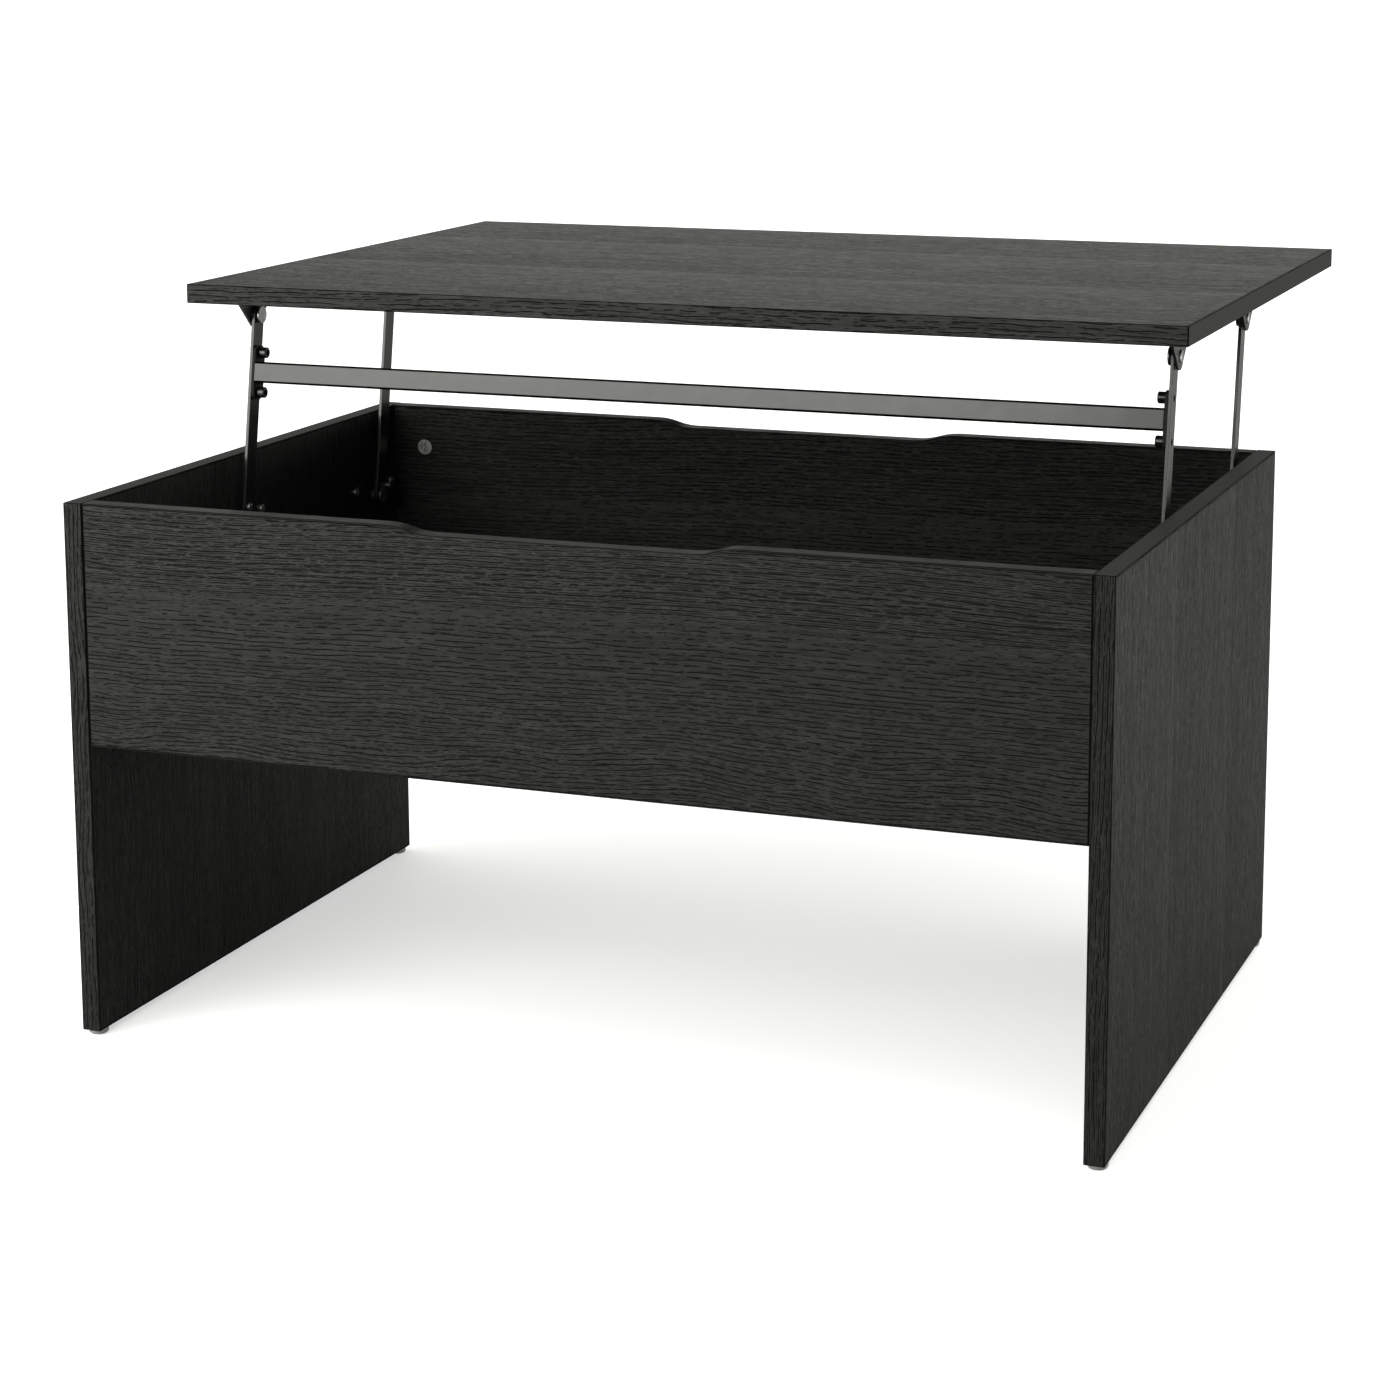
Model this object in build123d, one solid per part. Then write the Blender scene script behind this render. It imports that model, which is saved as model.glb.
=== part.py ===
"""Lift-top coffee table, shown with its top raised.

A box of four boards stands on four glides. Four equal arms, two on each side, carry
the top. They stay parallel, so the top rises level and swings forward over the back
of the box. Origin: on the floor, under the middle of the raised table's outline.
+X is to the right, +Y is the way the top moves as it rises, +Z is up. Millimetres.
"""

import os
from math import asin, cos, degrees, radians, sin

from build123d import *

os.makedirs("parts", exist_ok=True)

# ---------------------------------------------------------------- boards
board = 17.0  # thickness of the boards
top_length = 900.0
top_depth = 633.0
base_length = 895.3  # outside of the two side panels
base_depth = 603.3
panel_height = 459.0
apron_bottom = 251.0  # gap under the front and back aprons, from the panels' feet
apron_recess = 1.2  # the aprons stand this far behind the side panels' edges
apron_end_gap = 0.6
band = 1.0  # edge band thickness
band_round = 0.8
notch_half_width = 112.0  # flat part of the finger notch, each side of the middle
notch_slope = 40.0
notch_depth = 6.3
floor_board = 12.0  # the storage compartment's floor
floor_board_rise = 12.0  # above the aprons' lower edge
groove_depth = 6.0

# ---------------------------------------------------------------- glides
glide_height = 5.0
glide_radius = 8.5
glide_setback = 12.0

# ---------------------------------------------------------------- lifting gear
arm_length = 208.5  # between pivots
arm_width = 17.4
arm_thick = 3.0
arm_lean = 9.5  # degrees past upright, where the raised arms rest on their stops
arm_inner = 420.2  # from the middle of the table to the arm's inner face
pivot_spacing = 270.5
front_pivot_y = -39.4  # lower front pivot, from the middle of the base
lower_pivot_height = 377.6  # above the side panels' feet
pivot_drop = 18.1  # upper pivots below the underside of the top
closed_gap = 0.5  # between the closed top and the side panels
rivet_radius = 4.0
rivet_head_radius = 7.9
running = 0.05  # radial clearance of every pivot
side_play = 0.3  # sideways clearance of every arm
fixed = 0.04  # radial clearance of pieces that don't turn

# ---------------------------------------------------------------- worked out
half_base = base_length / 2
inner = half_base - board  # inner face of a side panel
feet = glide_height  # height of the panels' lower edges
panel_top = feet + panel_height
apron_low = feet + apron_bottom
apron_y = base_depth / 2 - apron_recess - board / 2  # middle plane of an apron
apron_face = apron_y - board / 2  # inner face of an apron
apron_half = inner - apron_end_gap
arm_outer = arm_inner + arm_thick
lower_z = feet + lower_pivot_height
upper_z = lower_z + arm_length * cos(radians(arm_lean))
underside = upper_z + pivot_drop
closed_rise = panel_top + closed_gap - pivot_drop - lower_z
closed_tilt = degrees(asin(closed_rise / arm_length))
swing = arm_lean + 90 - closed_tilt
shift = arm_length * (sin(radians(arm_lean)) + cos(radians(closed_tilt)))
pivots_y = {"front": front_pivot_y, "rear": front_pivot_y + pivot_spacing}
lean_y = arm_length * sin(radians(arm_lean))
base_y = -(shift + top_depth / 2 - base_depth / 2) / 2  # middle of the base from the origin


# ---------------------------------------------------------------- helpers
def block(x0, x1, y0, y1, z0, z1):
    """A box between two corners."""
    middle = Pos((x0 + x1) / 2, (y0 + y1) / 2, (z0 + z1) / 2)
    return middle * Box(x1 - x0, y1 - y0, z1 - z0)


def rod(x0, x1, y, z, radius):
    """A cylinder along X."""
    return Pos((x0 + x1) / 2, y, z) * Rot(0, 90, 0) * Cylinder(radius, x1 - x0)


def cone(x0, x1, y, z, radius0, radius1):
    """A cone along X, radius0 at x0 and radius1 at x1."""
    return Pos((x0 + x1) / 2, y, z) * Rot(0, 90, 0) * Cone(radius0, radius1, x1 - x0)


def plate(x0, x1, outline):
    """A flat sketch, drawn as (y, z) in Plane.YZ, given thickness from x0 to x1."""
    return Pos(x0, 0, 0) * extrude(Plane.YZ * outline, x1 - x0, dir=(1, 0, 0))


def left(shape):
    """The same piece on the other side of the table."""
    return mirror(shape, about=Plane.YZ)


def back(shape):
    """The same piece at the back of the base."""
    return mirror(shape, about=Plane.XZ)


def both_sides(shapes):
    """Every shape and its copy on the left."""
    return [*shapes, *[left(s) for s in shapes]]


def all_corners(shapes):
    """Every shape at all four corners of the base."""
    front_pair = both_sides(shapes)
    return [*front_pair, *[back(s) for s in front_pair]]


def solids_of(shapes):
    """The plain list of solids in some shapes."""
    return [solid for shape in shapes for solid in shape.solids()]


def save(name, *shapes):
    """Write one named piece, or one named set of identical pieces."""
    placed = [Pos(0, base_y, 0) * solid for solid in solids_of(shapes)]
    whole = placed[0] if len(placed) == 1 else Compound(children=placed)
    whole.label = name
    export_step(whole, f"parts/{name}.step")


# ---------------------------------------------------------------- boards
def strips(full, core, y_reach, z_low, z_high):
    """Cut the band that surrounds a side panel into its four strips."""
    ring = full - core
    wide = 2 * base_length
    low = ring & block(-wide, wide, -wide, wide, z_low - 1, z_low + band)
    high = ring & block(-wide, wide, -wide, wide, z_high - band, z_high + 1)
    between = ring & block(-wide, wide, -wide, wide, z_low + band, z_high - band)
    ends = [between & block(-wide, wide, *reach, 0, 2 * z_high) for reach in y_reach]
    return [low, high, *ends]


def side_panel():
    """Right side panel: the board with its grooves and drilled holes, and its band."""
    half = base_depth / 2
    full = block(inner, half_base, -half, half, feet, panel_top)
    full = fillet(full.edges(), band_round)
    core = block(
        inner - 1, half_base + 1, -half + band, half - band, feet + band, panel_top - band
    )
    reach = [(-half - 1, 0), (0, half + 1)]
    edge_band = strips(full, core, reach, feet, panel_top)
    panel = full & core
    panel -= floor_groove()
    for tool in all_corners(joint_holes()):
        panel -= tool
    for y in pivots_y.values():
        for dy, dz in bracket_fixings(y):
            hole = rod(inner - 1, inner + 12.2, y + dy, lower_z + dz, 1.9 + fixed)
            panel -= hole
    for y in (-half + glide_setback, half - glide_setback):
        middle = (inner + half_base) / 2
        edge_hole = Pos(middle, y, feet + 7.5) * Cylinder(2.5 + fixed, 17)
        panel -= edge_hole
        edge_band = [strip - edge_hole for strip in edge_band]
    return panel, edge_band


def apron_outline(low, high):
    """Front view of an apron, with the finger notch in its upper edge."""
    foot = notch_half_width
    head = foot + notch_slope
    mid = (foot + head) / 2
    drop = notch_depth / 2
    with BuildSketch(Plane.XZ) as sketch:
        with BuildLine():
            fall_1 = TangentArc((-head, high), (-mid, high - drop), tangent=(1, 0))
            fall_2 = TangentArc((-mid, high - drop), (-foot, high - 2 * drop), tangent=fall_1 % 1)
            Line((-foot, high - 2 * drop), (foot, high - 2 * drop))
            rise_1 = TangentArc((foot, high - 2 * drop), (mid, high - drop), tangent=(1, 0))
            TangentArc((mid, high - drop), (head, high), tangent=rise_1 % 1)
            Polyline(
                (head, high),
                (apron_half, high),
                (apron_half, low),
                (-apron_half, low),
                (-apron_half, high),
                (-head, high),
            )
        make_face()
    return sketch.sketch


def apron_slab(low, high, extra):
    """The outline given the board's thickness, as the front apron, with some to spare."""
    thick = board + 2 * extra
    slab = extrude(apron_outline(low, high), thick / 2, both=True)
    return Pos(0, -apron_y, 0) * slab


def is_long_edge(edge):
    """True for the four edge lines that the apron's bands round off."""
    box = edge.bounding_box()
    runs_level = box.size.X > 1 and box.size.Y < 0.01
    near_top = box.max.Z > panel_top - notch_depth - 1
    near_foot = box.max.Z < apron_low + 1
    return runs_level and (near_top or near_foot)


def apron():
    """Front apron: the board with its groove and bores, and its two bands."""
    full = apron_slab(apron_low, panel_top, 0)
    full = fillet([e for e in full.edges() if is_long_edge(e)], band_round)
    core = apron_slab(apron_low + band, panel_top - band, 1)
    rim = full - core
    middle = (apron_low + panel_top) / 2
    wide = base_length
    edge_band = [
        rim & block(-wide, wide, -wide, wide, 0, middle),
        rim & block(-wide, wide, -wide, wide, middle, 2 * middle),
    ]
    panel = (full & core) - floor_groove()
    for tool in both_sides(joint_holes()):
        panel -= tool
    return panel, edge_band


def floor_groove():
    """The groove round the inside that holds the storage floor."""
    x = inner + groove_depth
    y = apron_face + groove_depth
    low = apron_low + floor_board_rise
    return block(-x, x, -y, y, low - 0.1, low + floor_board + 0.1)


def bottom_panel():
    """The storage compartment's floor, which sits in the groove."""
    x = inner + groove_depth - 0.5
    y = apron_face + groove_depth - 0.5
    low = apron_low + floor_board_rise
    return block(-x, x, -y, y, low, low + floor_board)


def table_top():
    """The top board, with pilot holes under it, and the four strips of its edge band."""
    half_x = top_length / 2
    half_y = top_depth / 2
    full = block(-half_x, half_x, -half_y, half_y, underside, underside + board)
    uprights = full.edges().filter_by(Axis.Z)
    full = fillet(uprights, 1.5)
    full = fillet(full.faces().filter_by(Axis.Z).edges(), band_round)
    in_x = half_x - band
    in_y = half_y - band
    core = block(-in_x, in_x, -in_y, in_y, underside - 1, underside + board + 1)
    ring = full - core
    z_all = (underside - 1, underside + board + 1)
    edge_band = [
        ring & block(-half_x - 1, half_x + 1, -half_y - 1, -in_y, *z_all),
        ring & block(-half_x - 1, half_x + 1, in_y, half_y + 1, *z_all),
        ring & block(-half_x - 1, -in_x, -in_y, in_y, *z_all),
        ring & block(in_x, half_x + 1, -in_y, in_y, *z_all),
    ]
    panel = full & core
    panel = Pos(0, shift, 0) * panel
    edge_band = [Pos(0, shift, 0) * strip for strip in edge_band]
    for y in upper_pivots_y():
        for pilot in both_sides(flange_screw_shanks(y, 1.9 + fixed, 0.2)):
            panel -= pilot
    return panel, edge_band


# ---------------------------------------------------------------- knock-down fittings
cam_radius = 7.5
cam_setback = 34.0  # cam's centre from the side panel
cam_depth = 12.5
cam_inset = 40.6  # cam's centre from the apron's upper or lower edge
dowel_step = 32.0
cam_x = inner - cam_setback
cam_heights = (apron_low + cam_inset, panel_top - cam_inset)
dowel_heights = (cam_heights[0] + dowel_step, cam_heights[1] - dowel_step)


def cam_body(radius, depth):
    """A cam's cylinder, from the inner face of the front apron into it, at each height."""
    middle = -apron_face - depth / 2
    disc = Rot(90, 0, 0) * Cylinder(radius, depth)
    return [Pos(cam_x, middle, z) * disc for z in cam_heights]


def joint_holes():
    """The holes that one corner joint needs in its apron and its side panel."""
    cams = cam_body(cam_radius + fixed, cam_depth + 0.2)
    bolts = [rod(cam_x, inner + 10.2, -apron_y, z, 3.0 + fixed) for z in cam_heights]
    pins = [rod(inner - 18.5, inner + 12.5, -apron_y, z, 4.0 + fixed) for z in dowel_heights]
    return cams + bolts + pins


def cam_locks():
    """Eccentric cams with a cross slot in the face."""
    cams = []
    for disc, z in zip(cam_body(cam_radius, cam_depth), cam_heights):
        face = -apron_face
        ring = Pos(cam_x, face, z) * Rot(90, 0, 0) * Cylinder(cam_radius - 1.6, 1.0)
        slot = block(cam_x - 4.6, cam_x + 4.6, face - 2.5, face + 1, z - 0.8, z + 0.8)
        cross = block(cam_x - 0.8, cam_x + 0.8, face - 2.5, face + 1, z - 4.6, z + 4.6)
        mouth = rod(cam_x, cam_x + 10, -apron_y, z, 3.6)
        cams.append(disc - ring - slot - cross - mouth)
    return all_corners(cams)


def cam_bolts():
    """The bolts that screw into the side panels and reach into the cams."""
    bolts = []
    for z in cam_heights:
        shank = rod(cam_x + 4.5, inner + 10, -apron_y, z, 2.2)
        thread = rod(inner, inner + 10, -apron_y, z, 3.0)
        collar = rod(inner - 2.5, inner, -apron_y, z, 3.0)
        head = rod(cam_x + 2, cam_x + 4.5, -apron_y, z, 3.0)
        bolts.append(shank + thread + collar + head)
    return all_corners(bolts)


def wood_dowels():
    """Beech dowels beside the cams."""
    pins = []
    for z in dowel_heights:
        pin = rod(inner - 18, inner + 12, -apron_y, z, 4.0)
        pin = chamfer(pin.edges().filter_by(GeomType.CIRCLE), 0.8)
        pins.append(pin)
    return all_corners(pins)


def foot_glides():
    """Domed plastic glides, each with a stem pressed up into a side panel's lower edge."""
    x = (inner + half_base) / 2
    y = -base_depth / 2 + glide_setback
    dome = Pos(x, y, feet / 2) * Cylinder(glide_radius, glide_height)
    rim = dome.edges().filter_by(GeomType.CIRCLE).sort_by(Axis.Z)[0]
    dome = fillet(rim, 3.2)
    stem = Pos(x, y, feet + 7.5) * Cylinder(2.5, 15)
    return all_corners([dome + stem])


# ---------------------------------------------------------------- brackets and pivots
bracket_thick = 2.5
bracket_face = inner - bracket_thick
rivet_face = arm_inner - 3.2  # inner end of every pivot rivet
ear_in = 424.2
ear_thick = 2.2
ear_out = ear_in + ear_thick
ear_radius = 11.5
ear_half = 34.5
flange_in = 404.0
stop_radius = 4.0
stop_reach = 416.0
screw_head = 2.4
fixing_offset = (38.5, 8.5)
extra_fixing = (42.0, 25.0)  # upper fixing of the front brackets only


def bracket_fixings(pivot_y):
    """Offsets from the pivot of the screws that hold a lower bracket."""
    dy, dz = fixing_offset
    spots = [(-dy, dz), (dy, dz)]
    if pivot_y == front_pivot_y:
        spots.append(extra_fixing)
    return spots


def stop_offset():
    """Centre of the stop pin from its pivot: beside the raised arm, just above the pivot."""
    along = 9.6
    across = arm_width / 2 + stop_radius + 0.25
    lean = radians(arm_lean)
    y = along * sin(lean) + across * cos(lean)
    z = along * cos(lean) - across * sin(lean)
    return y, z


def lower_bracket(y):
    """The plate that carries a lower pivot, screwed to the inside of the right panel."""
    spots = [(dy, dz, 8.5) for dy, dz in bracket_fixings(y)] + [(0, 0, 15.0)]
    rounds = [CenterArc((y + dy, lower_z + dz), radius, 0, 360) for dy, dz, radius in spots]
    body = plate(bracket_face, inner, make_hull([arc.edge() for arc in rounds]))
    for dy, dz in bracket_fixings(y):
        body -= rod(bracket_face - 1, inner + 1, y + dy, lower_z + dz, 2.1)
    stop_y, stop_z = stop_offset()
    body -= rod(bracket_face - 1, inner + 1, y, lower_z, rivet_radius + fixed)
    body -= rod(bracket_face - 1, inner + 1, y + stop_y, lower_z + stop_z, 2.5 + fixed)
    return body


def lower_bracket_screws():
    """Pan-head screws of the lower brackets."""
    screws = []
    for y in pivots_y.values():
        for dy, dz in bracket_fixings(y):
            spot = (y + dy, lower_z + dz)
            head = rod(bracket_face - screw_head, bracket_face, *spot, 4.2)
            rim = head.edges().filter_by(GeomType.CIRCLE).sort_by(Axis.X)[0]
            head = fillet(rim, 1.2)
            socket_y = block(0, bracket_face - screw_head + 1, -2.2, 2.2, -0.5, 0.5)
            socket_z = block(0, bracket_face - screw_head + 1, -0.5, 0.5, -2.2, 2.2)
            head -= Pos(0, *spot) * (socket_y + socket_z)
            screws.append(head + rod(bracket_face, inner + 12, *spot, 1.9))
    return both_sides(screws)


def rivet_end(y, z):
    """The flat inner head of a pivot rivet, which narrows towards the arm."""
    rim = rod(rivet_face, rivet_face + 1.2, y, z, rivet_head_radius)
    face_edge = rim.edges().filter_by(GeomType.CIRCLE).sort_by(Axis.X)[0]
    rim = chamfer(face_edge, 0.3)
    neck = cone(rivet_face + 1.2, arm_inner - side_play, y, z, rivet_head_radius, 5.0)
    return rim + neck


def lower_pivot_rivets():
    """Rivets that the arms turn on, fixed in the lower brackets."""
    rivets = []
    for y in pivots_y.values():
        shank = rod(rivet_face + 1, inner - 0.2, y, lower_z, rivet_radius)
        rivets.append(rivet_end(y, lower_z) + shank)
    return both_sides(rivets)


def lower_pivot_bushes():
    """Spacer bushes between the lower brackets and the arms."""
    bushes = []
    for y in pivots_y.values():
        tube = rod(arm_outer + side_play, bracket_face, y, lower_z, 6.0)
        bushes.append(tube - rod(arm_inner, inner, y, lower_z, rivet_radius + fixed))
    return both_sides(bushes)


def arm_stop_pins():
    """Pins that the raised arms lean against."""
    pins = []
    dy, dz = stop_offset()
    for y in pivots_y.values():
        pin = rod(stop_reach, bracket_face, y + dy, lower_z + dz, stop_radius)
        tip = pin.edges().filter_by(GeomType.CIRCLE).sort_by(Axis.X)[0]
        pin = chamfer(tip, 0.6)
        pins.append(pin + rod(bracket_face, inner - 0.2, y + dy, lower_z + dz, 2.5))
    return both_sides(pins)


def upper_pivots_y():
    """Where the raised upper pivots are, front then rear."""
    return [y + lean_y for y in pivots_y.values()]


def flange_screw_shanks(y, radius, spare):
    """The screws' shanks into the top board, at one upper bracket."""
    x = (flange_in + arm_inner) / 2
    height = 12 + ear_thick + spare
    bar = Cylinder(radius, height)
    z = underside - ear_thick + height / 2
    return [Pos(x, y + dy, z) * bar for dy in (-24.0, 24.0)]


def upper_bracket(y):
    """An angle bracket: a flange under the top board and a pointed ear beside the arm."""
    tip = CenterArc((y, upper_z), ear_radius, 0, 360)
    top_edge = Line((y - ear_half, underside), (y + ear_half, underside))
    ear = plate(ear_in, ear_out, make_hull([tip.edge(), top_edge.edge()]))
    reach = (y - ear_half, y + ear_half, underside - ear_thick, underside)
    flange = block(flange_in, ear_out, *reach)
    body = ear + flange
    bend = [
        e
        for e in body.edges().filter_by(Axis.Y)
        if e.center().X > ear_out - 0.01 and e.center().Z > underside - 0.01
    ]
    body = fillet(bend, 1.6)
    body -= rod(ear_in - 1, ear_out + 1, y, upper_z, rivet_radius + fixed)
    for hole in flange_screw_shanks(y, 2.1, 0):
        body -= hole
    return body


def upper_bracket_screws():
    """Pan-head screws that hold the upper brackets to the top board."""
    screws = []
    for y in upper_pivots_y():
        for shank in flange_screw_shanks(y, 1.9, 0):
            spot = shank.center()
            low = underside - ear_thick
            head = Pos(spot.X, spot.Y, low - screw_head / 2) * Cylinder(4.2, screw_head)
            rim = head.edges().filter_by(GeomType.CIRCLE).sort_by(Axis.Z)[0]
            head = fillet(rim, 1.2)
            depth = low - screw_head
            slot = Pos(spot.X, spot.Y, depth) * Box(4.4, 1.0, 2.0)
            cross = Pos(spot.X, spot.Y, depth) * Box(1.0, 4.4, 2.0)
            screws.append(head - slot - cross + shank)
    return both_sides(screws)


def upper_pivot_rivets():
    """Rivets that join the arms to the ears, peened over outside."""
    rivets = []
    for y in upper_pivots_y():
        shank = rod(rivet_face + 1, ear_out, y, upper_z, rivet_radius)
        tail = rod(ear_out, ear_out + 1.6, y, upper_z, 5.4)
        edge = tail.edges().filter_by(GeomType.CIRCLE).sort_by(Axis.X)[-1]
        tail = fillet(edge, 1.3)
        rivets.append(rivet_end(y, upper_z) + shank + tail)
    return both_sides(rivets)


def upper_pivot_washers():
    """Thin washers between the ears and the arms."""
    washers = []
    for y in upper_pivots_y():
        ring = rod(arm_outer + side_play, ear_in, y, upper_z, 7.0)
        washers.append(ring - rod(arm_inner, ear_out, y, upper_z, rivet_radius + fixed))
    return both_sides(washers)


# ---------------------------------------------------------------- arms and beam
beam_side = 19.0
beam_wall = 1.5
beam_round = 2.0
beam_along = 156.2  # beam's middle from the lower pivots, along the arms
tab_thick = 3.0
tab_length = 49.0
tab_width = 18.2
bolt_step = 18.0  # each screw from the beam's middle
bolt_radius = 3.0
stud_along = 33.5
tab_face = arm_inner - tab_thick


def on_arm(pivot_y, along):
    """The point on an arm's middle line that far from its lower pivot."""
    lean = radians(arm_lean)
    return pivot_y + along * sin(lean), lower_z + along * cos(lean)


def leaning(pivot_y, along, shape):
    """A sketch or solid drawn upright about the origin, leaned and set on an arm."""
    y, z = on_arm(pivot_y, along)
    return Pos(0, y, z) * Rot(-arm_lean, 0, 0) * shape


def flat_bar(x0, x1, length, width, corner):
    """An upright flat bar with rounded ends, its middle at the origin."""
    outline = Plane.YZ * RectangleRounded(width, length, corner)
    return Pos(x0, 0, 0) * extrude(outline, x1 - x0, dir=(1, 0, 0))


def arm(pivot_y, holes):
    """A right-hand arm, with a pivot hole at each end and other holes as given."""
    length = arm_length + arm_width
    bar = flat_bar(arm_inner, arm_outer, length, arm_width, arm_width / 2 - 0.01)
    rims = [e for e in bar.edges() if e.bounding_box().size.X < 0.01]
    bar = fillet(rims, 0.4)
    bar = leaning(pivot_y, arm_length / 2, bar)
    for along in (0, arm_length):
        y, z = on_arm(pivot_y, along)
        bar -= rod(arm_inner - 1, arm_outer + 1, y, z, rivet_radius + running)
    for along, radius in holes:
        y, z = on_arm(pivot_y, along)
        bar -= rod(arm_inner - 1, arm_outer + 1, y, z, radius)
    return bar


def bolt_places():
    """Distances along the front arms of the beam's screws."""
    return (beam_along - bolt_step, beam_along + bolt_step)


def front_arm():
    """Front arm, drilled for the beam's screws and its stud."""
    holes = [(along, bolt_radius + fixed) for along in bolt_places()]
    return arm(front_pivot_y, [*holes, (stud_along, 2.5 + fixed)])


def cross_beam():
    """Square tube between the two front arms."""
    outside = RectangleRounded(beam_side, beam_side, beam_round)
    bore = RectangleRounded(
        beam_side - 2 * beam_wall, beam_side - 2 * beam_wall, beam_round - beam_wall
    )
    tube = extrude(Plane.YZ * (outside - bore), tab_face, both=True)
    return leaning(front_pivot_y, beam_along, tube)


def beam_tab():
    """End plate of the beam, held against the right arm."""
    tab = flat_bar(tab_face, arm_inner, tab_length, tab_width, 7.0)
    rims = [e for e in tab.edges() if e.bounding_box().max.X < tab_face + 0.01]
    tab = fillet(rims, 0.5)
    tab = leaning(front_pivot_y, beam_along, tab)
    for along in bolt_places():
        y, z = on_arm(front_pivot_y, along)
        tab -= rod(tab_face - 1, arm_inner + 1, y, z, bolt_radius + fixed)
    return tab


washer_thick = 1.2
bolt_head_radius = 5.0
bolt_head = 6.0


def beam_screws():
    """Socket-head screws through the tabs into the arms."""
    screws = []
    for along in bolt_places():
        y, z = on_arm(front_pivot_y, along)
        under = tab_face - washer_thick
        head = rod(under - bolt_head, under, y, z, bolt_head_radius)
        rim = head.edges().filter_by(GeomType.CIRCLE).sort_by(Axis.X)[0]
        head = chamfer(rim, 0.5)
        key = extrude(Plane.YZ * RegularPolygon(2.9, 6), 6.4, both=True)
        head -= Pos(under - bolt_head - 3.2, y, z) * key
        screws.append(head + rod(under, arm_outer, y, z, bolt_radius))
    return both_sides(screws)


def beam_screw_washers():
    """Washers under the screws' heads."""
    washers = []
    for along in bolt_places():
        y, z = on_arm(front_pivot_y, along)
        ring = rod(tab_face - washer_thick, tab_face, y, z, 5.2)
        washers.append(ring - rod(0, arm_outer, y, z, bolt_radius + fixed))
    return both_sides(washers)


def front_arm_studs():
    """Round-head studs through the front arms, a little above their lower pivots."""
    y, z = on_arm(front_pivot_y, stud_along)
    head = rod(arm_inner - 2.2, arm_inner, y, z, 4.0)
    rim = head.edges().filter_by(GeomType.CIRCLE).sort_by(Axis.X)[0]
    head = fillet(rim, 1.4)
    return both_sides([head + rod(arm_inner, arm_outer, y, z, 2.5)])


# ---------------------------------------------------------------- write the pieces
panel, panel_band = side_panel()
save("side_panel_right", panel)
save("side_panel_left", left(panel))
save("side_band_right", *panel_band)
save("side_band_left", *[left(strip) for strip in panel_band])

skirt, skirt_band = apron()
save("front_apron", skirt)
save("back_apron", back(skirt))
save("front_apron_band", *skirt_band)
save("back_apron_band", *[back(strip) for strip in skirt_band])
save("bottom_panel", bottom_panel())

save("foot_glides", *foot_glides())
save("cam_locks", *cam_locks())
save("cam_bolts", *cam_bolts())
save("wood_dowels", *wood_dowels())

for place, pivot_y in pivots_y.items():
    save(f"lower_bracket_{place}_right", lower_bracket(pivot_y))
    save(f"lower_bracket_{place}_left", left(lower_bracket(pivot_y)))
    save(f"upper_bracket_{place}_right", upper_bracket(pivot_y + lean_y))
    save(f"upper_bracket_{place}_left", left(upper_bracket(pivot_y + lean_y)))
save("lower_bracket_screws", *lower_bracket_screws())
save("lower_pivot_rivets", *lower_pivot_rivets())
save("lower_pivot_bushes", *lower_pivot_bushes())
save("arm_stop_pins", *arm_stop_pins())
save("upper_bracket_screws", *upper_bracket_screws())
save("upper_pivot_rivets", *upper_pivot_rivets())
save("upper_pivot_washers", *upper_pivot_washers())

save("front_arm_right", front_arm())
save("front_arm_left", left(front_arm()))
rear_arm = arm(pivots_y["rear"], [])
save("rear_arm_right", rear_arm)
save("rear_arm_left", left(rear_arm))
save("cross_beam", cross_beam())
save("beam_tab_right", beam_tab())
save("beam_tab_left", left(beam_tab()))
save("beam_screws", *beam_screws())
save("beam_screw_washers", *beam_screw_washers())
save("front_arm_studs", *front_arm_studs())

top, top_band = table_top()
save("tabletop", top)
save("tabletop_band", *top_band)
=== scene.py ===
"""The looks of the lift-top coffee table: foils, paint and metals on the CAD pieces, and a studio.

Lengths are in metres and angles in degrees. The frame has its origin on the floor under
the middle of the table, +X to the right, +Y to the back, +Z up. Levels of grey are linear.
"""

from math import cos, radians, sin

import bpy
from mathutils import Euler, Matrix, Vector


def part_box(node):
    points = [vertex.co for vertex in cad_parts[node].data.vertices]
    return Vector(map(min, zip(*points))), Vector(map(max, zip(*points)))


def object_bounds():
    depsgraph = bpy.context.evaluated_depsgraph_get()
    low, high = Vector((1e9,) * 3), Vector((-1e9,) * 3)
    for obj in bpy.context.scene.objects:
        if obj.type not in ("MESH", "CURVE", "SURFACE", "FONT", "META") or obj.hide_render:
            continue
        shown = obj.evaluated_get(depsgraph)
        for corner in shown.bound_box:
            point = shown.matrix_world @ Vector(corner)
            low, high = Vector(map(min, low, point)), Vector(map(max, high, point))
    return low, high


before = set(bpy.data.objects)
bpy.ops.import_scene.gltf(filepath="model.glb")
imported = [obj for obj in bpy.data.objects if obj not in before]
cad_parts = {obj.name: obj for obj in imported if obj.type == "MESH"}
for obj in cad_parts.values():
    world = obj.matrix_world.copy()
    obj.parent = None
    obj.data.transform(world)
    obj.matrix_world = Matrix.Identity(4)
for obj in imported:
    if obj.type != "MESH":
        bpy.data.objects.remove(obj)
cad_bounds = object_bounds()

MM = 0.001


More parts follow.
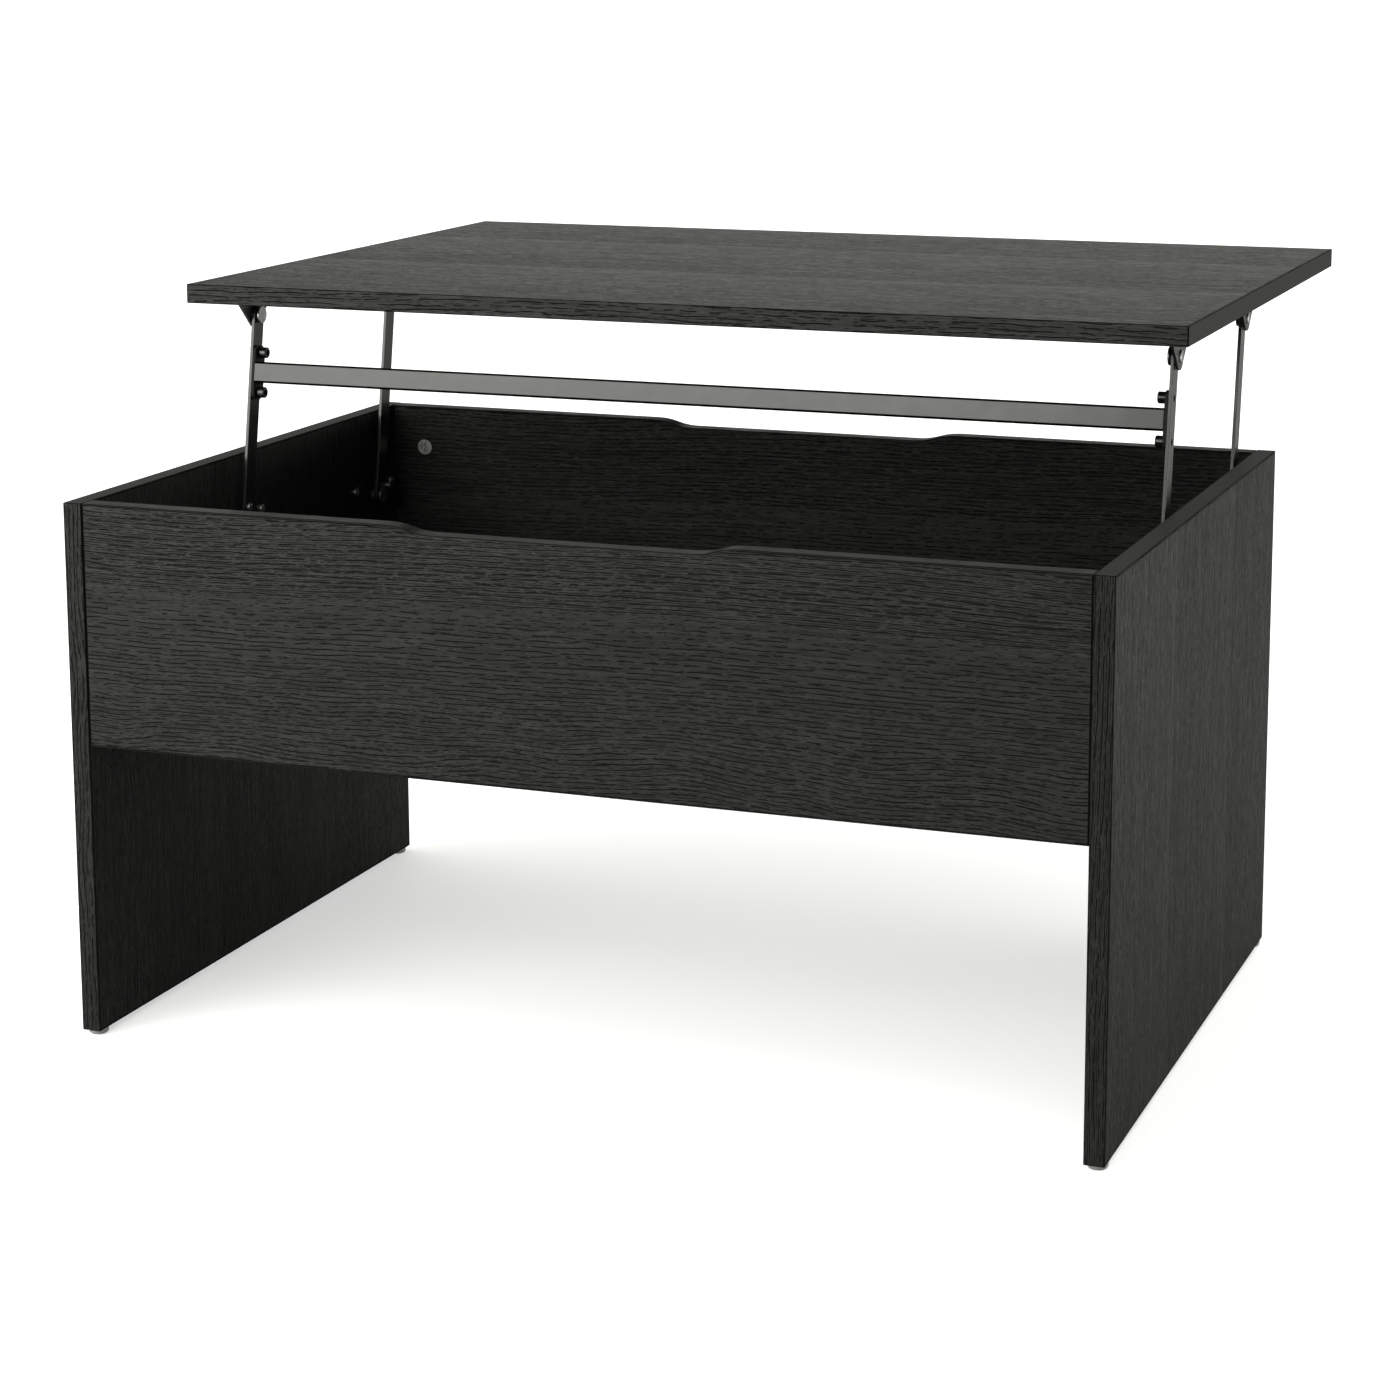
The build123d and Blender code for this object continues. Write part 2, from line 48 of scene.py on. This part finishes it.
# ---------------------------------------------------------------- node helpers
class Finish:
    """A material under construction: each method adds one node and returns its output."""

    def __init__(self, name):
        self.material = bpy.data.materials.new(name)
        self.material.use_nodes = True
        self.tree = self.material.node_tree
        self.tree.nodes.clear()
        self.output = self.add("ShaderNodeOutputMaterial")
        self.shader = self.add("ShaderNodeBsdfPrincipled")
        self.link(self.shader.outputs["BSDF"], self.output.inputs["Surface"])
        where = self.add("ShaderNodeTexCoord")
        self.place = where.outputs["Object"]
        self.normal = where.outputs["Normal"]

    def add(self, kind, **settings):
        node = self.tree.nodes.new(kind)
        for key, value in settings.items():
            setattr(node, key, value)
        return node

    def link(self, value, socket):
        """Feed a socket from another node's output, or set it to a plain value."""
        if isinstance(value, bpy.types.NodeSocket):
            self.tree.links.new(value, socket)
        else:
            socket.default_value = value

    def math(self, operation, *values, clamp=False):
        node = self.add("ShaderNodeMath", operation=operation, use_clamp=clamp)
        for value, socket in zip(values, node.inputs):
            self.link(value, socket)
        return node.outputs[0]

    def joined(self, x, y, z):
        node = self.add("ShaderNodeCombineXYZ")
        for value, socket in zip((x, y, z), node.inputs):
            self.link(value, socket)
        return node.outputs[0]

    def parts(self, vector):
        """The X, Y and Z of a vector."""
        node = self.add("ShaderNodeSeparateXYZ")
        self.link(vector, node.inputs[0])
        return node.outputs[:]

    def scaled(self, vector, factors):
        node = self.add("ShaderNodeVectorMath", operation="MULTIPLY")
        self.link(vector, node.inputs[0])
        self.link(factors, node.inputs[1])
        return node.outputs[0]

    def noise(self, vector, scale, detail=2.0, roughness=0.5):
        node = self.add("ShaderNodeTexNoise")
        self.link(vector, node.inputs["Vector"])
        self.link(scale, node.inputs["Scale"])
        self.link(detail, node.inputs["Detail"])
        self.link(roughness, node.inputs["Roughness"])
        return node.outputs["Fac"]

    def remap(self, value, low, high, to_low=0.0, to_high=1.0, smooth=True):
        """Carry low..high to to_low..to_high, clamped at both ends."""
        kind = "SMOOTHSTEP" if smooth else "LINEAR"
        node = self.add("ShaderNodeMapRange", interpolation_type=kind)
        sockets = ("Value", "From Min", "From Max", "To Min", "To Max")
        for name, given in zip(sockets, (value, low, high, to_low, to_high)):
            self.link(given, node.inputs[name])
        return node.outputs["Result"]

    def mix(self, share, first, second):
        """A colour between two colours."""
        node = self.add("ShaderNodeMix", data_type="RGBA")
        self.link(share, node.inputs[0])
        self.link(first, node.inputs[6])
        self.link(second, node.inputs[7])
        return node.outputs[2]

    def bump(self, height, depth, strength=1.0):
        node = self.add("ShaderNodeBump")
        self.link(strength, node.inputs["Strength"])
        self.link(depth, node.inputs["Distance"])
        self.link(height, node.inputs["Height"])
        self.link(node.outputs["Normal"], self.shader.inputs["Normal"])

    def set(self, **values):
        """Set or feed the shader's own sockets: words in a name are joined by _."""
        for key, value in values.items():
            self.link(value, self.shader.inputs[key.replace("_", " ").title()])

    def specular(self, level):
        """How strongly the surface mirrors, the same all over."""
        self.shader.inputs["Specular IOR Level"].default_value = level

    def on(self, *nodes):
        """Give this finish to CAD nodes."""
        for node in nodes:
            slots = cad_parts[node].data.materials
            slots.clear()
            slots.append(self.material)


def grey(level, warmth=0.0):
    """A nearly neutral colour."""
    return (level * (1 + warmth), level, level * (1 - warmth), 1.0)


# ---------------------------------------------------------------- wood-effect foil
FOIL_BASE = 0.021
# the grey of the pores, also used for the painted shade on rounded edges
FOIL_PORE_AND_SHADE = 0.0015
FOIL_WARMTH = 0.02
FOIL_SPECULAR = 0.12
ROW_SPACING = 3.9 * MM  # of the main rows of pores
RING_SPACING = 230 * MM
DRIFT = 40 * MM  # how far the grain wanders across the board
RIPPLE = 26 * MM
LIVELY_MIDDLE = 0.52  # the ripples' place in a year ring, as a share of the ring
LIVELY_REACH = 0.26
PORE_DEPTH = 0.3 * MM


def facing(f):
    """How squarely the surface faces each object axis: 0 to 1, whichever way it looks."""
    return [f.math("ABSOLUTE", part) for part in f.parts(f.normal)]


def shaded_rounding(f):
    """How far a spot lies on a rounded board edge, which is painted dark there as shade: 0 to 1."""
    x, y, z = facing(f)
    return f.remap(f.math("MAXIMUM", f.math("MAXIMUM", x, y), z), 0.995, 0.96)


def near_border(f, node, axes):
    """1 close to the board's border, along the joint with its edge band."""
    low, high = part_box(node)
    place = f.parts(f.place)
    nearest = 1.0
    for axis in axes:
        i = "XYZ".index(axis)
        for bound in (low[i], high[i]):
            gap = f.math("ABSOLUTE", f.math("SUBTRACT", place[i], bound))
            nearest = f.math("MINIMUM", gap, nearest)
    return f.remap(nearest, 1.0 * MM, 0.7 * MM)


def ring_share(f, across, edge):
    """How far through its year ring a spot lies, 0 to 1. A ring ends at the edge given."""
    return f.math("FRACT", f.math("DIVIDE", f.math("SUBTRACT", edge, across), RING_SPACING))


def bent_grain(f, grain, across, edge):
    """The place across the board as the grain counts it: the grain drifts slowly, and
    ripples in the middle of each year ring."""

    def centred(noise, size):
        return f.math("MULTIPLY", f.math("SUBTRACT", noise, 0.5), size)

    drift = centred(f.noise(f.scaled(grain, (1.6, 2.5, 2.5)), 1.0, 1.0), DRIFT)
    off_middle = f.math("ABSOLUTE", f.math("SUBTRACT", ring_share(f, across, edge), LIVELY_MIDDLE))
    lively = f.remap(off_middle, LIVELY_REACH, 0.0)
    ripple = centred(f.noise(f.scaled(grain, (7.5, 12.0, 12.0)), 1.0, 1.0), RIPPLE)
    ripple = f.math("MULTIPLY", ripple, f.remap(lively, 0.0, 1.0, 0.12, 1.0))
    return f.math("ADD", across, f.math("ADD", drift, ripple))


def pore_rows(f, along, count, through, thin, shake, dash, cover):
    """Rows of short dashes. count: the rows counted across the board. thin: a row's
    thickness as a share of its spacing. shake, dash: how fast a row wavers, and how fast
    its dashes follow each other. cover: the share of noise above which a dash shows."""
    row = f.math("FLOOR", count)
    nudge = f.noise(f.joined(f.math("MULTIPLY", along, shake), row, through), 3.7, 1.0)
    off = f.math("SUBTRACT", f.math("FRACT", count), f.remap(nudge, 0.2, 0.8, 0.2, 0.8, False))
    chain = f.noise(f.joined(f.math("MULTIPLY", along, dash), row, through), 7.3, 0.0)
    reach = f.remap(f.math("SUBTRACT", chain, cover), 0.0, 0.14, -0.04, thin / 2, False)
    return f.remap(f.math("SUBTRACT", reach, f.math("ABSOLUTE", off)), -0.05, 0.06)


def foil_light(f, tone, cloud, streak, fibre, crowded):
    """How light the foil is between its pores: 1 is usual."""
    light = f.remap(cloud, 0.3, 0.7, 0.97 * tone, 1.03 * tone, False)
    light = f.math("MULTIPLY", light, f.remap(streak, 0.3, 0.7, 0.72, 1.28, False))
    light = f.math("MULTIPLY", light, f.remap(fibre, 0.3, 0.7, 0.7, 1.25, False))
    return f.math("MULTIPLY", light, f.remap(crowded, 0.0, 1.0, 0.97, 1.17, False))


def foil(name, axes, edge, shift, board=None, tone=1.0, coarse=1.0):
    """Black open-grain foil. axes: the object axes that run along the grain, across it
    and through the board. edge: where across the board a band of dense pores stops.
    shift: sets boards apart. board: the node whose border is dark. tone: lighter or
    darker than usual. coarse: wider rows than usual."""
    f = Finish(name)
    place = f.parts(f.place)
    along, across, through = (place["XYZ".index(a)] for a in axes)
    along = f.math("ADD", along, shift)
    grain = f.joined(along, across, through)
    bent = bent_grain(f, grain, across, edge)
    squeeze = f.noise(f.joined(f.math("MULTIPLY", bent, 30.0), shift, 0.0), 1.0, 0.0)
    count = f.math("ADD", f.math("DIVIDE", bent, ROW_SPACING * coarse), f.math("MULTIPLY", squeeze, 1.6))

    # each year ring fills up with pores towards a sharp far side
    year = ring_share(f, bent, edge)
    here = f.remap(year, 1.0, 0.988)
    sparse = f.math("MULTIPLY", f.remap(year, 0.0, 0.14), here)
    crowded = f.math("MULTIPLY", f.remap(year, 0.1, 0.95), here)
    cover = f.remap(sparse, 0.0, 1.0, 0.50, 0.32, False)
    main = pore_rows(f, along, count, through, 0.20, 9.0, 13.0, cover)
    cover = f.remap(crowded, 0.0, 1.0, 0.56, 0.33, False)
    fine = pore_rows(f, along, f.math("MULTIPLY", count, 2.1), through, 0.34, 18.0, 26.0, cover)
    end = f.remap(facing(f)["XYZ".index(axes[0])], 0.6, 0.8)  # faces across the grain are plain
    pores = f.math("MAXIMUM", main, f.math("MULTIPLY", fine, 0.7))
    pores = f.math("MULTIPLY", pores, f.math("SUBTRACT", 1.0, end))

    fibre = f.noise(f.scaled(grain, (60.0, 1100.0, 1100.0)), 1.0, 1.0)
    streak = f.noise(f.scaled(f.joined(along, bent, through), (14.0, 280.0, 280.0)), 1.0, 2.0, 0.6)
    cloud = f.noise(f.scaled(grain, (2.2, 20.0, 20.0)), 1.0, 3.0)
    light = foil_light(f, tone, cloud, streak, fibre, crowded)
    light = f.math("MULTIPLY", light, f.remap(end, 0.0, 1.0, 1.0, 0.25))
    light = f.math("ADD", light, f.math("MULTIPLY", end, 0.5))
    # painted shade on the rounded edges, joined with the dark joint line along the edge band
    dark_edges = shaded_rounding(f)
    if board:
        dark_edges = f.math("MAXIMUM", dark_edges, near_border(f, board, axes[:2]))
    dark = f.math("MAXIMUM", pores, dark_edges)
    body = f.scaled(grey(FOIL_BASE, FOIL_WARMTH)[:3], f.joined(light, light, light))
    gloss = f.math("ADD", f.remap(streak, 0.3, 0.7, 0.57, 0.46, False), f.math("MULTIPLY", dark, 0.42))
    gloss = f.math("MAXIMUM", gloss, f.math("MULTIPLY", end, 0.66))
    relief = f.math("SUBTRACT", f.math("MULTIPLY", fibre, f.remap(end, 0.0, 1.0, 0.25, 0.05)), pores)

    f.set(base_color=f.mix(dark, body, grey(FOIL_PORE_AND_SHADE)), roughness=gloss)
    f.specular(FOIL_SPECULAR)
    f.bump(relief, PORE_DEPTH)
    return f


def plain_band(name):
    """Smooth black edge band, slightly cloudy and speckled."""
    f = Finish(name)
    cloud = f.noise(f.scaled(f.place, (30.0, 30.0, 30.0)), 1.0, 3.0)
    speck = f.noise(f.scaled(f.place, (1500.0, 1500.0, 1500.0)), 1.0, 2.0)
    share = f.math("ADD", f.math("MULTIPLY", cloud, 0.6), f.math("MULTIPLY", speck, 0.4))
    colour = f.mix(share, grey(0.013, FOIL_WARMTH), grey(0.021, FOIL_WARMTH))
    # painted shade: the rounded edges are darkened to the pore grey and made rougher
    dark_edges = shaded_rounding(f)
    f.set(base_color=f.mix(dark_edges, colour, grey(FOIL_PORE_AND_SHADE)))
    f.set(roughness=f.math("ADD", f.remap(cloud, 0.3, 0.7, 0.62, 0.52), f.math("MULTIPLY", dark_edges, 0.3)))
    f.bump(speck, 0.03 * MM, 0.6)
    f.specular(FOIL_SPECULAR)
    return f


# ---------------------------------------------------------------- metals and plastics
ARM_LEAN = 9.5  # of the raised arms, past upright


def shaded_tube_corners(f):
    """1 on the rounded corners of the beam, which leans with the raised arms: they get painted shade,
    nearly black and dull.
    """
    y, z = f.parts(f.normal)[1:]
    straight, aside = cos(radians(ARM_LEAN)), sin(radians(ARM_LEAN))
    front = f.math("SUBTRACT", f.math("MULTIPLY", y, straight), f.math("MULTIPLY", z, aside))
    top = f.math("ADD", f.math("MULTIPLY", y, aside), f.math("MULTIPLY", z, straight))
    flat = f.math("MAXIMUM", f.math("ABSOLUTE", front), f.math("ABSOLUTE", top))
    return f.remap(flat, 0.999, 0.985)


def screw_tips(f):
    """1 on the screws' ends, the faces that look away from the middle of the table."""
    outward = f.math("MULTIPLY", f.parts(f.normal)[0], f.parts(f.place)[0])
    return f.remap(outward, 0.3, 0.38)


def satin_paint(name, level, rough, specular=0.5, dull_parts=None):
    """Satin black with a fine orange-peel surface: powder coat, black steel or plastic.
    dull_parts: a function that picks out what is made dull and nearly black, such as the painted shade
    on the beam's rounded corners."""
    f = Finish(name)
    peel = f.noise(f.scaled(f.place, (900.0, 900.0, 900.0)), 1.0, 2.0)
    smudge = f.noise(f.scaled(f.place, (60.0, 60.0, 60.0)), 1.0, 4.0)
    colour = f.mix(smudge, grey(level * 0.8), grey(level * 1.2))
    gloss = f.remap(smudge, 0.3, 0.7, rough - 0.015, rough + 0.02)
    if dull_parts:
        # nearly black, rough and metallic so it mirrors little; on the beam's corners this is painted
        # shade
        dull = dull_parts(f)
        colour = f.mix(dull, colour, grey(0.0015))
        gloss = f.math("MAXIMUM", gloss, dull)
        f.set(metallic=dull)
    f.set(base_color=colour, roughness=gloss)
    f.bump(peel, 0.02 * MM, 0.5)
    f.specular(specular)
    return f


def bare_metal(name, level, rough, warmth=0.0):
    """Plated steel: fine scratches and slight clouding."""
    f = Finish(name)
    cloud = f.noise(f.scaled(f.place, (140.0, 140.0, 140.0)), 1.0, 4.0)
    scratch = f.noise(f.scaled(f.place, (260.0, 2600.0, 2600.0)), 1.0, 3.0)
    f.set(metallic=1.0)
    f.set(base_color=f.mix(cloud, grey(level * 0.82, warmth), grey(level * 1.14, warmth)))
    f.set(roughness=f.remap(cloud, 0.3, 0.7, rough - 0.05, rough + 0.08))
    f.bump(scratch, 0.01 * MM, 0.5)
    return f


def glide_plastic(name):
    """Milky moulded plastic."""
    f = Finish(name)
    cloud = f.noise(f.scaled(f.place, (220.0, 220.0, 220.0)), 1.0, 3.0)
    f.set(base_color=f.mix(cloud, grey(0.42, 0.01), grey(0.56, 0.01)))
    f.set(roughness=f.remap(cloud, 0.3, 0.7, 0.28, 0.42))
    f.set(transmission_weight=0.25)
    f.bump(cloud, 0.03 * MM, 0.4)
    return f


def beech(name):
    """Plain turned beech with short flecks along the dowel."""
    f = Finish(name)
    fleck = f.noise(f.scaled(f.place, (300.0, 2400.0, 2400.0)), 1.0, 2.0)
    cloud = f.noise(f.scaled(f.place, (60.0, 300.0, 300.0)), 1.0, 3.0)
    wood = f.mix(cloud, (0.55, 0.34, 0.18, 1.0), (0.66, 0.44, 0.25, 1.0))
    f.set(base_color=f.mix(f.remap(fleck, 0.6, 0.72), wood, (0.30, 0.16, 0.08, 1.0)))
    f.set(roughness=f.remap(fleck, 0.3, 0.7, 0.5, 0.7))
    f.bump(fleck, 0.05 * MM, 0.6)
    return f


def dress_table():
    """Give every CAD node its finish."""
    boards = (  # node, axes along and across the grain and through, edge, shift, tone
        ("tabletop", "XYZ", 0.25, 0.3, 1.0),
        ("front_apron", "XZY", 0.401, 0.75, 1.0),
        ("back_apron", "XZY", 0.38, 2.4, 0.85),
        ("bottom_panel", "XYZ", 0.0, 4.0, 0.9),
        ("side_panel_left", "ZYX", 0.0, 1.0, 1.0),
        ("side_panel_right", "ZYX", 0.0, 2.0, 1.0),
    )
    for board, axes, edge, shift, tone in boards:
        foil(f"foil_{board}", axes, edge, shift, board, tone).on(board)
    foil("foil_top_edge", "XZY", 0.695, 0.3, tone=1.25, coarse=1.4).on("tabletop_band")
    foil("foil_side_edge", "ZXY", 0.61, 0.3, tone=0.8).on("side_band_left", "side_band_right")
    plain_band("plain_edge").on("front_apron_band", "back_apron_band")

    arm_paint = satin_paint("arm_paint", 0.010, 0.25)
    arm_paint.on("front_arm_left", "front_arm_right", "rear_arm_left", "rear_arm_right")
    satin_paint("beam_paint", 0.010, 0.25, 0.47, shaded_tube_corners).on("cross_beam")
    bracket_paint = satin_paint("bracket_paint", 0.010, 0.36)
    for end in ("front", "rear"):
        for hand in ("left", "right"):
            bracket_paint.on(f"lower_bracket_{end}_{hand}", f"upper_bracket_{end}_{hand}")
    black_screw = satin_paint("black_screw", 0.006, 0.16, 0.5, screw_tips)
    black_screw.on("beam_screws", "beam_screw_washers")
    satin_paint("tab_paint", 0.006, 0.7, 0.25).on("beam_tab_left", "beam_tab_right")
    rivet = bare_metal("rivet_steel", 0.36, 0.30)
    rivet.on("lower_pivot_rivets", "upper_pivot_rivets", "arm_stop_pins", "front_arm_studs")
    zinc = bare_metal("zinc_steel", 0.5, 0.34, 0.01)
    zinc.on("lower_bracket_screws", "upper_bracket_screws", "upper_pivot_washers", "cam_bolts")
    bare_metal("cam_zinc", 0.42, 0.42, 0.01).on("cam_locks")
    satin_paint("bush_plastic", 0.03, 0.5).on("lower_pivot_bushes")
    glide_plastic("glide_plastic").on("foot_glides")
    beech("beech").on("wood_dowels")


# ---------------------------------------------------------------- studio
FLOOR_SIZE = 80.0
FLOOR_GLOW = 0.5  # as the camera sees it
FLOOR_LEVEL_FOR_LIGHT = 0.36  # what the floor throws back onto the table
LIGHT_COLOUR = (1.0, 1.0, 0.95)
SKY_LIGHT = 0.37
SKY_AS_SEEN = 1.3
TOP_LIGHT = 2.2
TOP_LIGHT_SPREAD = 100
TOP_LIGHT_TILT = (12, -14)


def make_floor():
    """A wide pale floor, lighter to the camera than to the table."""
    bpy.ops.mesh.primitive_plane_add(size=FLOOR_SIZE, location=(0, 0, 0))
    floor = bpy.context.object
    floor.name = "studio_floor"
    f = Finish("floor_white")
    cloud = f.noise(f.place, 0.7, 3.0)
    seen = f.add("ShaderNodeLightPath").outputs["Is Camera Ray"]
    white = f.mix(cloud, grey(0.86), grey(0.90))
    f.set(base_color=f.mix(seen, grey(FLOOR_LEVEL_FOR_LIGHT), white), roughness=0.7)
    f.specular(0.1)
    f.set(emission_color=grey(1.0), emission_strength=f.math("MULTIPLY", seen, FLOOR_GLOW))
    floor.data.materials.append(f.material)


def placed(name, data):
    """An object in the scene that holds a light or a camera."""
    holder = bpy.data.objects.new(name, data)
    bpy.context.scene.collection.objects.link(holder)
    return holder


def soft_box(name, target, azimuth, elevation, distance, size, power):
    """A rectangular light that faces the target. Azimuth 0 is in front, 90 at the right."""
    lamp = bpy.data.lights.new(name, "AREA")
    lamp.shape = "RECTANGLE"
    lamp.size, lamp.size_y = size
    lamp.energy = power
    lamp.color = LIGHT_COLOUR
    holder = placed(name, lamp)
    a, e = radians(azimuth), radians(elevation)
    way = Vector((sin(a) * cos(e), -cos(a) * cos(e), sin(e)))
    holder.location = target + way * distance
    holder.visible_camera = False
    holder.rotation_euler = (-way).to_track_quat("-Z", "Y").to_euler()


def sky_light():
    """Even surrounding light, with a white background for the camera."""
    world = bpy.data.worlds.new("studio")
    world.use_nodes = True
    tree = world.node_tree
    tree.nodes.clear()
    out = tree.nodes.new("ShaderNodeOutputWorld")
    lit = tree.nodes.new("ShaderNodeBackground")
    lit.inputs["Color"].default_value = (*LIGHT_COLOUR, 1.0)
    lit.inputs["Strength"].default_value = SKY_LIGHT
    seen = tree.nodes.new("ShaderNodeBackground")
    seen.inputs["Strength"].default_value = SKY_AS_SEEN
    path = tree.nodes.new("ShaderNodeLightPath")
    mix = tree.nodes.new("ShaderNodeMixShader")
    tree.links.new(path.outputs["Is Camera Ray"], mix.inputs[0])
    tree.links.new(lit.outputs[0], mix.inputs[1])
    tree.links.new(seen.outputs[0], mix.inputs[2])
    tree.links.new(mix.outputs[0], out.inputs["Surface"])
    bpy.context.scene.world = world


def top_light():
    """Very soft light from above."""
    sun = bpy.data.lights.new("soft_top", "SUN")
    sun.energy = TOP_LIGHT
    sun.angle = radians(TOP_LIGHT_SPREAD)
    sun.color = LIGHT_COLOUR
    forward, sideways = TOP_LIGHT_TILT
    placed("soft_top", sun).rotation_euler = (radians(forward), radians(sideways), 0)


def make_lights(centre):
    """Soft light all round, with boxes in front, at the right and far behind."""
    sky_light()
    top_light()
    soft_box("key", centre, azimuth=-23.5, elevation=20, distance=2.4, size=(1.8, 0.75), power=31)
    soft_box("front_low", centre, azimuth=-42, elevation=3, distance=2.2, size=(1.2, 0.6), power=11)
    soft_box("right_low", centre, azimuth=108, elevation=0, distance=2.2, size=(1.4, 0.5), power=18)
    soft_box("back", centre, azimuth=198, elevation=9, distance=10.0, size=(5.4, 3.0), power=75)
    soft_box("back_right", centre, azimuth=174, elevation=5, distance=10.0, size=(2.6, 1.8), power=80)


LENS = 83.6  # mm, on a 36 mm frame
CAMERA_PLACE = (1.000, -2.722, 0.945)
CAMERA_SHIFT = -0.15
LOOK_DOWN = 10.06
LOOK_ASIDE = 20.96
CAMERA_ROLL = -0.20


def make_camera():
    """The photograph's viewpoint; the small shift places the table in the picture."""
    data = bpy.data.cameras.new("camera")
    data.sensor_width = 36.0
    data.lens = LENS
    data.shift_y = CAMERA_SHIFT
    data.clip_end = 200.0
    camera = placed("camera", data)
    camera.location = CAMERA_PLACE
    turn = Euler((radians(90 - LOOK_DOWN), 0, radians(LOOK_ASIDE))).to_matrix()
    roll = Matrix.Rotation(radians(CAMERA_ROLL), 3, "Z")
    camera.rotation_euler = (turn @ roll).to_euler()
    bpy.context.scene.camera = camera


dress_table()
low, high = cad_bounds
middle = (low + high) / 2
make_floor()
make_lights(middle)
make_camera()
bpy.context.scene.view_settings.view_transform = "Standard"
